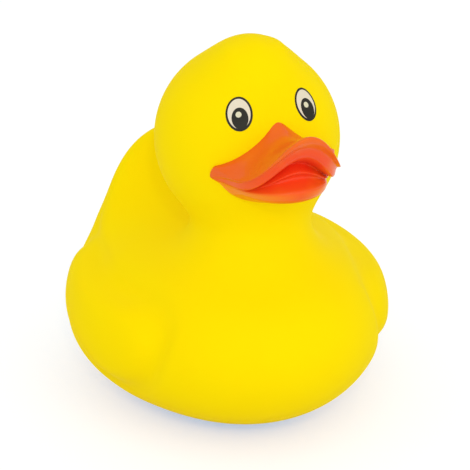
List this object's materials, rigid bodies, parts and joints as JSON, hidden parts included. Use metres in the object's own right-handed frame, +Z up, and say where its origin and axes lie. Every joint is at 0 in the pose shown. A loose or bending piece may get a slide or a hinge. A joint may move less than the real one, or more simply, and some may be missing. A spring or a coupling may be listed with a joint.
{
  "type": "rubber duck",
  "caption": "Hollow moulded vinyl bath duck with an open orange bill, printed eyes, puffy wings and an upturned tail, and a squeaker pressed into its flat base.",
  "frame": {"origin": "middle of the bounding box seen from above, on the plane the base stands on", "axes": "+X is the duck's left, -Y is the way it faces, +Z is up"},
  "size_m": [0.0714, 0.0863, 0.088],
  "materials": {
    "vinyl": "smooth satin yellow vinyl; bill in glossy orange paint, eyes printed in black and cream",
    "squeaker_plastic": "plain off-white moulded plastic"
  },
  "bodies": {
    "root": {"vinyl_body": "vinyl", "squeaker": "squeaker_plastic"}
  },
  "joints": []
}
